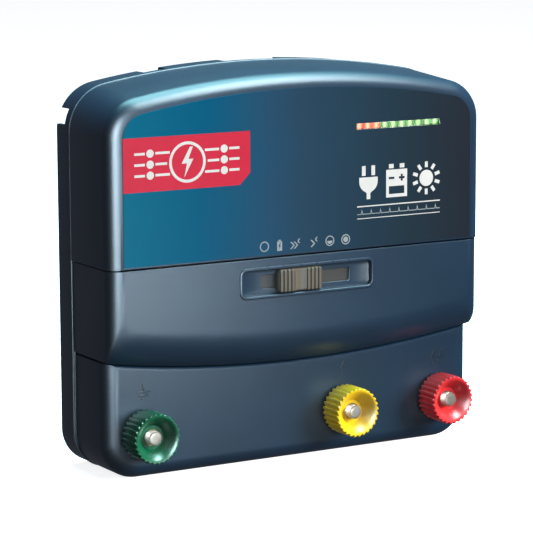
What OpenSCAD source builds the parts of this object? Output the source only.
// Fence energizer: a wall-hung box that feeds pulses to an electric fence.
// Every part is drawn in one frame: X across, -Y towards the user, Z up, base at Z = 0.
// "Forward" distances are counted from the seam between the rear case and the front mouldings.

/* [Casing] */
// Width across the upper cover
cover_w = 228.4; // [220:0.2:240]
// Width across the rear case
rear_w = 226.4; // [218:0.2:238]
// Height from the base to the top of the crown
case_h = 211.5; // [205:0.5:225]
// Depth of the rear case behind the seam
rear_depth = 17; // [15:0.5:22]
// Depth of the cover and control band in front of the seam
front_depth = 44.5; // [43:0.5:50]
// Depth of the terminal housing in front of the seam
housing_depth = 35; // [33:0.5:37]
// Wall thickness of the front mouldings
wall = 2.5; // [2:0.1:2.8]
// Radius of the rounded front edges
edge_r = 8; // [5:0.5:10]
// Radius of the shallow arc along the top
crown_r = 520; // [420:10:800]
// Radius of the two top shoulders at the seam
shoulder_r = 25; // [20:1:32]
// Drop of the crown from the seam to the front edge
crown_drop = 3.5; // [0:0.5:5]
// Radius of the two bottom corners
corner_r = 20; // [14:1:24]

/* [Control band] */
// Height of the groove between the cover and the control band
groove_z = 111.7; // [110:0.1:116]
// Lowest height of the curved lower edge of the control band
band_edge_z = 54.2; // [50:0.2:58]
// Radius of the curved lower edge of the control band
band_edge_r = 700; // [600:10:1200]
// Height of the rolled-back lower part of the control band
roll_h = 19; // [15:0.5:22]

/* [Slider] */
// Centre of the slider trough across the case
trough_x = 2.8; // [-6:0.1:6]
// Height of the slider's centre line
slider_z = 98.7; // [97:0.1:99.5]
// Distance between two slider positions
slider_pitch = 10.05; // [9:0.05:11]
// Position in which the slider is drawn, counted from the left
slider_place = 3; // [1:1:6]
// Width of the slider knob
slider_w = 27.6; // [24:0.2:30]
// Height of the slider knob
slider_h = 12.4; // [10:0.2:12.6]

/* [Terminals] */
// Positions of the earth, reduced and full terminals across the case
terminal_x = [-91.4, 29.8, 91.4]; // [-95:0.1:95]
// Height of the terminals
terminal_z = 24.2; // [22:0.1:28]
// Diameter of the terminal studs
stud_d = 8; // [6:0.5:9]
// Largest radius of a terminal knob
knob_r = 13.3; // [11:0.1:14]
// Length of a terminal knob
knob_len = 15; // [14:0.5:18]
// Number of grip ribs round a terminal knob
knob_ribs = 28; // [20:1:36]

/* [Indicator and label] */
// Left end of the indicator bar
led_x = 33.2; // [20:0.1:40]
// Length of the indicator bar
led_len = 53; // [40:1:56]
// Height of the indicator bar's centre line
led_z = 177.5; // [170:0.5:182]
// Number of lamps in the indicator bar
led_count = 10; // [8:1:12]
// Number of red lamps at the bar's left end
led_reds = 3; // [1:1:4]
// Thickness of the front label
label_t = 0.35; // [0.2:0.05:0.6]

/* [Hidden] */

$fn = 48;
eps = 0.05;
washer_t = 1.35;
knob_back = housing_depth + washer_t + 0.15;
knob_front = knob_back + knob_len;
insert_len = 8;
insert_r = 6.5;
well_floor = insert_len + 0.7;
// The seam's place in Y centres the whole depth, knobs included, on Y = 0.
seam_y = (knob_front - rear_depth) / 2;
band_w = cover_w - 1.4;
housing_w = cover_w - 2.6;
cover_bottom = groove_z + 0.35;
band_top = groove_z - 0.35;
panel_front = -4.5;
panel_back = -7.5;
skirt_t = 2.6;
rim_t = 3.2;
board_back = 1.5;
board_t = 1.6;
board_front = board_back + board_t;
slider_x = trough_x + (slider_place - 3.5) * slider_pitch;
trough_floor = front_depth - 2.3;
floor_back = trough_floor - 1.5;
strip_front = floor_back - 0.1;
strip_back = strip_front - 1.2;
trough_w = slider_w + 5 * slider_pitch + 1.2;
trough_h = slider_h + 0.8;
rim_w = 1.8;
roll_back = front_depth - housing_depth - 0.5;
roll_r = (roll_h * roll_h + roll_back * roll_back) / (2 * roll_back);
slot_w = 5 * slider_pitch + 4;
slot_h = 7;
neck_w = slot_w - 5 * slider_pitch - 0.8;
switch_back = 30.6;
switch_posts = [[trough_x - 41, slider_z - 9.8], [trough_x + 41, slider_z + 9.8]];
led_back = front_depth - 6.5;
led_pitch = led_len / led_count;
led_posts = [[led_x - 2.5, led_z + 6.5], [led_x + led_len + 2.5, led_z - 6.5]];
cover_bosses = [[97.5, 186], [102, 122]];
band_bosses = [[102, 84]];
housing_bosses = [[102, 46], [58, 9]];
board_holes = [[-90, 75.5], [0, 75.5], [90, 75.5], [-90, 172.5], [0, 173.2], [90, 172.5]];
keyholes = [-75, 75];
keyhole_z = 140;
socket_x = -30;
socket_y = seam_y - 16;

// ---- shared shapes ----

// Extrudes an X-Z outline from one forward distance to another.
module slab(from, to) {
    translate([0, seam_y - from, 0]) rotate([90, 0, 0]) linear_extrude(to - from) children();
}

// A round bar along Y between two forward distances.
module rod(x, z, from, to, r, r_end = -1) {
    translate([x, seam_y - from, z]) rotate([90, 0, 0])
        cylinder(h = to - from, r1 = r, r2 = r_end < 0 ? r : r_end);
}

// A square-edged block between two corners in X and Z and two forward distances.
module block(x0, x1, z0, z1, from, to) {
    translate([x0, seam_y - to, z0]) cube([x1 - x0, to - from, z1 - z0]);
}

module mirrored() {
    children();
    mirror([1, 0, 0]) children();
}

function arc_points(centre, r, from, to, steps) =
    [for (i = [0:steps]) let (a = from + (to - from) * i / steps)
        centre + r * [cos(a), sin(a)]];

function rounded_rect(w, h, r) = concat(
    arc_points([w / 2 - r, h / 2 - r], r, 0, 90, 5),
    arc_points([r - w / 2, h / 2 - r], r, 90, 180, 5),
    arc_points([r - w / 2, r - h / 2], r, 180, 270, 5),
    arc_points([w / 2 - r, r - h / 2], r, 270, 360, 5));

// The crown: right shoulder, shallow top arc and left shoulder, all tangent.
function crown(half_w, apex, r, top_r) =
    let (mid = [0, apex - top_r],
        side = [half_w - r, mid.y + sqrt(pow(top_r - r, 2) - pow(half_w - r, 2))],
        a = atan2(side.y - mid.y, side.x))
    concat(arc_points(side, r, 0, a, 8),
        [for (i = [1:13]) let (t = a + (180 - 2 * a) * i / 14) mid + top_r * [cos(t), sin(t)]],
        arc_points([-side.x, side.y], r, 180 - a, 180, 8));

// The two bottom corners, from the left side to the right side.
function base_corners(half_w, bottom, r) = concat(
    arc_points([r - half_w, bottom + r], r, 180, 270, 8),
    arc_points([half_w - r, bottom + r], r, 270, 360, 8));

function case_outline(inset) = concat(
    crown(rear_w / 2 - inset, case_h - inset, shoulder_r - inset, crown_r - inset),
    base_corners(rear_w / 2 - inset, inset, corner_r - inset));

// How far a rounded front edge has turned inwards at a forward distance.
function edge_inset(forward, face) =
    let (past = forward - (face - edge_r))
    past <= 0 ? 0 : edge_r - sqrt(max(0, edge_r * edge_r - past * past));

// How far the band's lower part has risen at a forward distance, on its roll arc.
function roll_rise(forward, face) =
    let (drop = face - forward)
    drop >= roll_back ? 0 : roll_h - sqrt(max(0, roll_r * roll_r - pow(roll_r - drop, 2)));

function band_edge(x) = band_edge_z + x * x / (2 * band_edge_r);

// Joins rings of equal length, each [x, forward, z], into one closed solid.
module skin(rings) {
    n = len(rings[0]);
    last = (len(rings) - 1) * n;
    translate([0, seam_y, 0]) polyhedron(
        points = [for (ring = rings, p = ring) [p.x, -p.y, p.z]],
        faces = concat(
            [[for (i = [0:n - 1]) n - 1 - i]],
            [for (k = [0:len(rings) - 2], i = [0:n - 1]) let (a = k * n + i, b = k * n + (i + 1) % n)
                each [[a, b, b + n], [a, b + n, a + n]]],
            [[for (i = [0:n - 1]) last + i]]));
}

function ring(outline, forward) = [for (p = outline) [p.x, forward, p.y]];

// Forward distances of the rings round a front edge, in equal turns.
function turns(face, steps) =
    [for (i = [0:steps]) face - edge_r + edge_r * sin(90 * i / steps)];

function backwards(list) = [for (i = [len(list) - 1:-1:0]) list[i]];

function cover_ring(forward, inset) =
    let (face = front_depth - inset,
        turn = edge_inset(forward, face) + inset,
        drop = crown_drop * min(1, max(0, forward) / (front_depth - edge_r)),
        half = cover_w / 2 - turn,
        low = cover_bottom + inset)
    ring(concat([[half, low]],
        crown(half, case_h - drop - turn, shoulder_r - drop - turn, crown_r - turn),
        [[-half, low]]), forward);

function band_ring(forward, inset) =
    let (face = front_depth - inset,
        half = band_w / 2 - edge_inset(forward, face) - inset,
        rise = roll_rise(forward, face) + inset)
    ring(concat([[half, band_top - inset], [-half, band_top - inset]],
        [for (i = [0:16]) let (x = half * (i / 8 - 1)) [x, band_edge(x) + rise]]), forward);

function housing_ring(forward, inset) =
    let (face = housing_depth - inset,
        turn = edge_inset(forward, face),
        half = housing_w / 2 - turn - inset,
        soften = 1.2 * max(0, forward - face + 1.2))
    ring(concat(
        [for (i = [0:16]) let (x = half * (1 - i / 8)) [x, band_edge(x) - 0.8 - inset - soften]],
        base_corners(half, turn + inset, corner_r - turn - inset)), forward);

// Posts that take the case screws, on both sides of the case.
module screw_posts(places, from) {
    mirrored() for (p = places) rod(p.x, p.y, panel_front, from, 4.2);
}

module post_bores(places) {
    mirrored() for (p = places) rod(p.x, p.y, panel_front - 1, 14, 1.55);
}

// A swept tube of eight sides along a list of points.
module tube(path, r) {
    last = len(path) - 1;
    rings = [for (i = [0:last])
        let (ahead = path[min(i + 1, last)] - path[max(i - 1, 0)],
            u = ahead / norm(ahead),
            s = cross(u, [0, 1, 0]) / norm(cross(u, [0, 1, 0])),
            t = cross(u, s))
        [for (a = [0:45:315]) path[i] + r * (cos(a) * s + sin(a) * t)]];
    polyhedron(points = [for (q = rings, p = q) p],
        faces = concat([[7, 6, 5, 4, 3, 2, 1, 0]],
            [for (k = [0:last - 1], i = [0:7]) let (a = k * 8 + i, b = k * 8 + (i + 1) % 8)
                each [[a, b, b + 8], [a, b + 8, a + 8]]],
            [[for (i = [0:7]) last * 8 + i]]));
}

// ---- casing ----

// Tray that closes the back, with a skirt that stands it off the wall.
module rear_case() color("#2b3c54") difference() {
    union() {
        difference() {
            slab(-rear_depth, 0) polygon(case_outline(0));
            slab(panel_front, 1) polygon(case_outline(rim_t));
            slab(-rear_depth - 1, panel_back) polygon(case_outline(skirt_t));
            skirt_notches();
            seal_groove();
        }
        for (p = board_holes) rod(p.x, p.y, panel_front - eps, board_back, 3.5);
        for (x = keyholes) keyhole_pad(x);
    }
    for (p = board_holes) rod(p.x, p.y, panel_front + 1, board_back + 1, 1.3);
    mirrored() for (p = concat(cover_bosses, band_bosses, housing_bosses))
        rod(p.x, p.y, panel_back - 1, panel_front + 1, 1.8);
    for (x = keyholes) keyhole_cut(x);
}

module seal_groove() {
    slab(-1.2, 1) difference() {
        polygon(case_outline(0.9));
        polygon(case_outline(2.3));
    }
}

// Gaps in the skirt for the wall bracket and for leads.
module skirt_notches() {
    from = -rear_depth - 1;
    to = panel_back;
    block(-17.5, 17.5, case_h - 25, case_h + 5, from, to);
    mirrored() {
        block(53, 66.3, case_h - 25, case_h + 5, from, to);
        block(rear_w / 2 - 15, rear_w / 2 + 5, 182, 190.3, from, to);
        block(20, 34, -5, 8, from, to);
    }
}

module keyhole_pad(x) {
    block(x - 13, x + 13, keyhole_z - 14, keyhole_z + 20, -rear_depth, panel_back + eps);
}

// Hollow behind the pad, a round entry for the screw head and a slot above it.
module keyhole_cut(x) {
    block(x - 10.5, x + 10.5, keyhole_z - 11.5, keyhole_z + 17.5, -rear_depth + 2.5, panel_back);
    rod(x, keyhole_z, -rear_depth - 1, -rear_depth + 3, 5);
    rod(x, keyhole_z + 11, -rear_depth - 1, -rear_depth + 3, 2.6);
    block(x - 2.6, x + 2.6, keyhole_z, keyhole_z + 11, -rear_depth - 1, -rear_depth + 3);
}

// Cord of soft rubber in the groove of the rear case's rim.
module case_seal() color("#26282b") slab(-1.2, 0) difference() {
    polygon(case_outline(0.95));
    polygon(case_outline(2.25));
}

module upper_cover() color("#46627f") difference() {
    union() {
        skin(concat(
            backwards([for (f = concat([0], turns(front_depth, 6))) cover_ring(f, 0)]),
            [for (f = concat([0], turns(front_depth - wall, 3))) cover_ring(f, wall)]));
        screw_posts(cover_bosses, front_depth - wall + 0.5);
        for (p = led_posts) rod(p.x, p.y, led_back, front_depth - wall + 0.5, 2.2);
    }
    block(4 - cover_w / 2, cover_w / 2 - 4, groove_z, cover_bottom + wall + 1, -1, front_depth - 6);
    post_bores(cover_bosses);
    led_window(0);
    for (p = led_posts) rod(p.x, p.y, led_back - 1, led_back + 3.5, 0.9);
}

module led_window(gap) {
    block(led_x - 0.2 + gap, led_x + led_len + 0.2 - gap, led_z - 1.7 + gap, led_z + 1.7 - gap,
        front_depth - wall - 1, front_depth + 1);
}

module control_band() color("#46627f") difference() {
    union() {
        skin(concat(
            backwards([for (f = concat([0, front_depth - roll_back], turns(front_depth, 6)))
                band_ring(f, 0)]),
            [for (f = concat([0, front_depth - wall - roll_back], turns(front_depth - wall, 3)))
                band_ring(f, wall)]));
        screw_posts(band_bosses, front_depth - wall + 0.5);
        slab(floor_back, front_depth + 0.8) translate([trough_x, slider_z])
            polygon(rounded_rect(trough_w + 2 * rim_w, trough_h + 2 * rim_w, 4));
        for (side = [-1, 1]) block(trough_x - 80, trough_x + 82, slider_z + side * 6 - 1,
            slider_z + side * 6 + 1, strip_back - 0.4, floor_back + 0.8);
        for (p = switch_posts) rod(p.x, p.y, switch_back, floor_back + 1, 2.6);
    }
    block(4 - band_w / 2, band_w / 2 - 4, band_top - wall - 1, groove_z, -1, floor_back - 2);
    block(-94, 94, band_edge_z - 5, band_edge_z + 20, 4, housing_depth - 9);
    post_bores(band_bosses);
    slab(trough_floor, front_depth + 2) translate([trough_x, slider_z])
        polygon(rounded_rect(trough_w, trough_h, 2.6));
    block(trough_x - slot_w / 2, trough_x + slot_w / 2, slider_z - slot_h / 2,
        slider_z + slot_h / 2, floor_back - 1, trough_floor + 1);
    for (i = [0:5]) rod(trough_x + (i - 2.5) * slider_pitch, slider_z + trough_h / 2 + rim_w / 2 + 0.3,
        front_depth + 0.2, front_depth + 2, 0.5);
    for (p = switch_posts) rod(p.x, p.y, switch_back - 1, switch_back + 5, 0.9);
}

module terminal_housing() color("#425d79") difference() {
    union() {
        skin(concat(
            backwards([for (f = concat([0], turns(housing_depth, 6))) housing_ring(f, 0)]),
            [for (f = concat([0], turns(housing_depth - wall, 3))) housing_ring(f, wall)]));
        screw_posts(housing_bosses, housing_depth - wall + 0.5);
        translate([socket_x, socket_y, 0.6]) cylinder(h = wall + 0.4, r = 10.5);
        for (x = terminal_x) rod(x, terminal_z, housing_depth - wall - 1.5, housing_depth - 1, 9);
        terminal_symbols();
    }
    block(-94, 94, band_edge_z - 8, band_edge_z + 20, 4, housing_depth - 9);
    post_bores(housing_bosses);
    for (x = terminal_x) rod(x, terminal_z, 20, housing_depth + 1, stud_d / 2 + 0.2);
    translate([socket_x, socket_y, -1]) cylinder(h = 6, r = 7.1);
    translate([socket_x, socket_y, -1]) cylinder(h = 2.4, r = 9.2);
}

// Raised marks: an earth sign, one flash and two flashes.
module terminal_symbols() slab(housing_depth - 0.5, housing_depth + 0.5) {
    translate([terminal_x[0] + 0.6, 46.2]) {
        translate([-0.4, 0]) square([0.8, 4.4]);
        for (i = [0:2]) translate([i * 1.3 - 3.9, -i * 1.9 - 0.4]) square([7.8 - i * 2.6, 0.8]);
    }
    translate([terminal_x[1] + 0.6, 46.2]) flash();
    for (x = [-2.4, 2.8]) translate([terminal_x[2] + x, 46.2]) flash();
}

module flash() polygon([[0.9, 4.6], [-2, -0.4], [-0.2, -0.4], [-1.1, -4.6], [2, 0.9], [0.3, 0.9],
    [1.9, 4.6]]);

// ---- label and indicator ----

module label_overlay() color("#0d5f88") difference() {
    inset = edge_r + 0.1;
    half = cover_w / 2 - inset;
    slab(front_depth, front_depth + label_t) polygon(concat([[half, groove_z + 1.4]],
        crown(half, case_h - crown_drop - inset, shoulder_r - crown_drop - inset, crown_r - inset),
        [[-half, groove_z + 1.4]]));
    led_window(0);
}

module led_lens() color("#c8d6cf", 0.6) intersection() {
    led_window(0.1);
    block(0, 100, 150, 200, front_depth - wall + 0.2, front_depth + label_t);
}

module led_lamps(from, to) {
    for (i = [from:to - 1]) block(led_x + i * led_pitch + 0.3, led_x + (i + 1) * led_pitch - 0.3,
        led_z - 1.3, led_z + 1.3, led_back, front_depth - wall + 0.1);
}

module led_red_lamps() color("#ff5a2a") led_lamps(0, led_reds);
module led_green_lamps() color("#b7e34a") led_lamps(led_reds, led_count);

module led_board() color("#1d6b3f") difference() {
    block(led_x - 5.5, led_x + led_len + 5.5, led_z - 9, led_z + 9,
        led_back - board_t, led_back);
    for (p = led_posts) rod(p.x, p.y, 30, 40, 1.2);
}

// ---- slider switch ----

module slider_knob() color("#8c8278") difference() {
    union() {
        slab(trough_floor + 0.3, front_depth + 1.4) translate([slider_x, slider_z])
            polygon(rounded_rect(slider_w, slider_h, 2.4));
        for (side = [-1, 1], i = [0:3]) grip_rib(side * (5.3 + i * 2.35));
        block(slider_x - neck_w / 2, slider_x + neck_w / 2, slider_z - 2.6, slider_z + 2.6,
            strip_front, trough_floor + 1);
    }
    translate([slider_x, seam_y - front_depth - 16.2, slider_z]) cylinder(h = 20, r = 15.5,
        center = true);
}

module grip_rib(x) {
    translate([slider_x + x, seam_y - front_depth - 1.2, slider_z])
        cylinder(h = slider_h - 1, r = 0.85, center = true, $fn = 16);
}

// Long strip that keeps the slot closed wherever the slider stands.
module slider_strip() color("#7d746a")
    block(slider_x - 53.5, slider_x + 53.5, slider_z - 4.5, slider_z + 4.5,
        strip_back, strip_front);

module detent_spring() color("#b9b4a6") {
    block(slider_x - 20, slider_x + 20, slider_z - 2.5, slider_z + 2.5,
        strip_back - 0.5, strip_back);
    for (x = [-19, 19]) translate([slider_x + x, seam_y - strip_back + 1.05, slider_z])
        cylinder(h = 5, r = 1, center = true, $fn = 24);
}

module switch_wiper() color("#d8d2c2") difference() {
    block(slider_x - 6, slider_x + 6, slider_z - 4.2, slider_z + 4.2, 32.6, strip_back - 0.5);
    block(slider_x - 4, slider_x + 4, slider_z - 5, slider_z + 5, 34.4, 36);
}

// Open channel with the fixed contacts; the wiper runs along it.
module switch_body() color("#30343a") difference() {
    block(trough_x - 39, trough_x + 39, slider_z - 6.8, slider_z + 6.8, switch_back, 36);
    block(trough_x - 37, trough_x + 37, slider_z - 4.6, slider_z + 4.6, 32, 37);
}

module switch_board() color("#1d6b3f") difference() {
    block(trough_x - 45, trough_x + 45, slider_z - 13, slider_z + 13,
        switch_back - board_t, switch_back);
    for (p = switch_posts) rod(p.x, p.y, 20, 40, 1.2);
}

// ---- electronics ----

module main_board() color("#1f7044") difference() {
    block(-94, 94, 72, 177, board_back, board_front);
    for (p = board_holes) rod(p.x, p.y, 0, 5, 1.7);
}

module transformer_core() color("#4a4d52") difference() {
    block(-93, -45, 78, 134, 10, 30);
    for (x = [-85, -61]) block(x, x + 8, 86, 126, 9, 31);
}

module transformer_winding() color("#b9682f") difference() {
    block(-84.7, -53.3, 86.4, 125.6, 4, 36);
    block(-77.3, -60.7, 80, 130, 9.7, 30.3);
}

module storage_capacitors() color("#2f6fb3")
    for (x = [-36, -2]) slab(board_front, 33) translate([x + 16, 147])
        polygon(rounded_rect(32, 46, 1.5));

module smoothing_capacitor() color("#2a2f5c") {
    rod(52, 150, board_front, 32.5, 11);
    rod(52, 150, 32.5, 34, 11, 10);
}

module inverter_transformer() color("#c9a227") difference() {
    block(68, 92, 138, 162, board_front, 24);
    for (x = [73, 83]) block(x, x + 4, 137, 163, 12, 25);
}

module heat_sink() color("#a9adb3") {
    block(60, 92, 84, 87, board_front, 28);
    for (i = [0:6]) block(60 + i * 5, 62 + i * 5, 87 - eps, 96, board_front, 28);
}

module thyristor() color("#222326") {
    block(71, 81, 79.6, 84, board_front + 3, 18);
    for (x = [73.4, 76, 78.6]) block(x - 0.5, x + 0.5, 81, 81.8, board_front, board_front + 3.1);
}

module toroid_choke() color("#c07b3a") translate([-70, seam_y - 8.2, 157]) rotate([90, 0, 0])
    rotate_extrude() translate([11, 0]) circle(r = 4.8);

module board_chips() color("#1b1c1f") {
    for (p = [[-20, 84, 14, 8], [4, 84, 9, 12], [26, 82, 18, 15], [-36, 110, 9, 7], [10, 106, 12, 9]])
        block(p[0], p[0] + p[2], p[1], p[1] + p[3], board_front, board_front + 2 + p[2] / 6);
}

// Flat cables from the two front boards to the main board, each a shallow S.
module ribbon_cables() color("#9a9ea6") {
    ribbon(58, 12, led_z - 7.5, 163.5, led_back - board_t);
    ribbon(24, 12, slider_z + 11.5, slider_z + 19, switch_back - board_t);
}

module ribbon(x, w, z_front, z_back, front) {
    bend_f = front - 2;
    bend_b = board_front + 2;
    translate([x, seam_y, 0]) rotate([90, 0, 90]) linear_extrude(w) polygon([
        [-front, z_front - 0.5], [-front, z_front + 0.5], [-bend_f, z_front + 0.5],
        [-bend_b, z_back + 0.5], [-board_front, z_back + 0.5], [-board_front, z_back - 0.5],
        [-bend_b, z_back - 0.5], [-bend_f, z_front - 0.5]]);
}

// ---- supply inlet ----

// Blind weatherproof socket in the underside, flange flush with the base.
module supply_socket() color("#202226") translate([socket_x, socket_y, 0]) difference() {
    union() {
        translate([0, 0, 0.2]) cylinder(h = 1.2, r = 9);
        translate([0, 0, 0.2]) cylinder(h = 16, r = 7);
        for (x = [-3, 3]) translate([x - 0.8, -0.4, 16]) cube([1.6, 0.8, 5]);
    }
    translate([0, 0, -1]) cylinder(h = 13.2, r = 4);
}

module supply_socket_nut() color("#8f949a") translate([socket_x, socket_y, wall + 1]) difference() {
    cylinder(h = 3, r = 10, $fn = 6);
    translate([0, 0, -1]) cylinder(h = 5, r = 7.03);
}

// ---- output leads ----

// A lead leaves the front of the winding, turns under the core, crosses the housing in
// an S and comes down straight on to its lug.
function lead_path(i) =
    let (x0 = -76 + i * 7, x = terminal_x[i], low = 38 + i * 3, high = 66, lug = terminal_z + 9.05)
    concat([[x0, seam_y - 33, 86.3], [x0, seam_y - 33, 79], [x0, seam_y - 30.5, 74],
            [x0, seam_y - 25, 70]],
        [for (t = [0:0.125:1]) let (s = t * t * (3 - 2 * t), drop = sin(90 * t))
            [x0 + (x - x0) * s, seam_y - 20 - 3.4 * s,
                high + (low - high) * drop + (lug + 5 - low) * pow(t, 6)]],
        [[x, seam_y - 23.4, lug]]);

module output_leads() color("#a83232") for (i = [0:2]) tube(lead_path(i), 1.5);

module ring_lugs() color("#c9ccd0") for (x = terminal_x) difference() {
    union() {
        rod(x, terminal_z, 22.4, 24.4, 7);
        block(x - 2, x + 2, terminal_z + 5, terminal_z + 9, 22.4, 24.4);
    }
    rod(x, terminal_z, 20, 26, stud_d / 2 + 0.1);
}

// ---- fasteners ----

module screw(x, z, head_at, tip_at, shank_r, head_r) {
    toward = tip_at > head_at ? 1 : -1;
    top = head_at - toward * 2;
    difference() {
        rod(x, z, min(head_at, top), max(head_at, top), head_r);
        block(x - 2, x + 2, z - 0.4, z + 0.4, top - 0.8, top + 0.8);
        block(x - 0.4, x + 0.4, z - 2, z + 2, top - 0.8, top + 0.8);
    }
    rod(x, z, min(head_at, tip_at), max(head_at, tip_at), shank_r);
}

module case_screws() color("#b8bcc2") mirrored()
    for (p = concat(cover_bosses, band_bosses, housing_bosses))
        screw(p.x, p.y, panel_back, 12, 1.5, 3.6);

module board_screws() color("#b8bcc2")
    for (p = board_holes) screw(p.x, p.y, board_front, -3, 1.25, 2.8);

module small_screws() color("#b8bcc2") {
    for (p = led_posts) screw(p.x, p.y, led_back - board_t, 40, 0.85, 1.9);
    for (p = switch_posts) screw(p.x, p.y, switch_back - board_t, 34, 0.85, 1.9);
}

// ---- terminals ----

module stud(i) color("#b5aaa0") {
    x = terminal_x[i];
    r = stud_d / 2;
    rod(x, terminal_z, 19, 20, r - 1, r);
    rod(x, terminal_z, 20, knob_front - 3, r);
    rod(x, terminal_z, knob_front - 3, knob_front - 2, r, r - 1);
}

module stud_washers() color("#c9ccd0") for (x = terminal_x) difference() {
    rod(x, terminal_z, housing_depth - wall - 3.1, housing_depth - wall - 1.5, 8);
    rod(x, terminal_z, 25, 40, stud_d / 2 + 0.2);
}

module stud_nuts() color("#c9ccd0") for (x = terminal_x)
    translate([x, seam_y - 24.4, terminal_z]) rotate([90, 0, 0]) difference() {
        cylinder(h = housing_depth - wall - 3.1 - 24.4, r = 7.5, $fn = 6);
        translate([0, 0, -1]) cylinder(h = 9, r = stud_d / 2 + 0.03);
    }

module clamp_washer(i) color("#c9ccd0") difference() {
    rod(terminal_x[i], terminal_z, housing_depth + 0.05, housing_depth + 0.05 + washer_t, 9);
    rod(terminal_x[i], terminal_z, 30, 40, stud_d / 2 + 0.3);
}

// Ribbed knob with a dished front and a web over its insert, drawn along Z and laid down.
module knob(i, tint) color(tint) translate([terminal_x[i], seam_y - knob_back, terminal_z])
    rotate([90, 0, 0]) difference() {
        intersection() {
            linear_extrude(knob_len) polygon(rib_outline());
            rotate_extrude($fn = 96) polygon([[0, 0], [knob_r - 0.5, 0], [knob_r, 0.6],
                [knob_r - 0.7, knob_len - 0.5], [knob_r - 1.2, knob_len], [0, knob_len]]);
        }
        rotate_extrude() polygon([[0, knob_len + 1], [knob_r - 1.5, knob_len + 1],
            [knob_r - 2, knob_len - 0.2], [6.9, knob_len - 5.5], [insert_r, knob_len - 6],
            [insert_r, well_floor], [stud_d / 2 + 0.4, well_floor],
            [stud_d / 2 + 0.4, insert_len + 0.05], [insert_r, insert_len + 0.05], [insert_r, -1],
            [0, -1]]);
    }

function rib_outline() = [for (i = [0:knob_ribs - 1], q = [[-0.3, 1], [0.12, 1], [0.24, 0], [0.6, 0]])
    let (a = (i + q[0]) * 360 / knob_ribs, r = knob_r + 0.1 - 1.1 * (1 - q[1])) r * [cos(a), sin(a)]];

module insert(i) color("#c8a24a") difference() {
    rod(terminal_x[i], terminal_z, knob_back, knob_back + insert_len, insert_r - 0.05);
    rod(terminal_x[i], terminal_z, knob_back - 1, knob_back + 9, stud_d / 2 + 0.05);
}

rear_case();
upper_cover();
control_band();
terminal_housing();
case_seal();
label_overlay();
led_lens();
led_red_lamps();
led_green_lamps();
led_board();
slider_knob();
slider_strip();
switch_wiper();
detent_spring();
switch_body();
switch_board();
main_board();
transformer_core();
transformer_winding();
storage_capacitors();
smoothing_capacitor();
inverter_transformer();
thyristor();
heat_sink();
toroid_choke();
board_chips();
supply_socket();
supply_socket_nut();
ribbon_cables();
output_leads();
ring_lugs();
case_screws();
board_screws();
small_screws();
stud_washers();
stud_nuts();
stud(0);  // stud_earth
stud(1);  // stud_reduced
stud(2);  // stud_full
clamp_washer(0);  // clamp_washer_earth
clamp_washer(1);  // clamp_washer_reduced
clamp_washer(2);  // clamp_washer_full
knob(0, "#0b5a3a");  // knob_earth
knob(1, "#f4d91f");  // knob_reduced
knob(2, "#e23b35");  // knob_full
insert(0);  // insert_earth
insert(1);  // insert_reduced
insert(2);  // insert_full
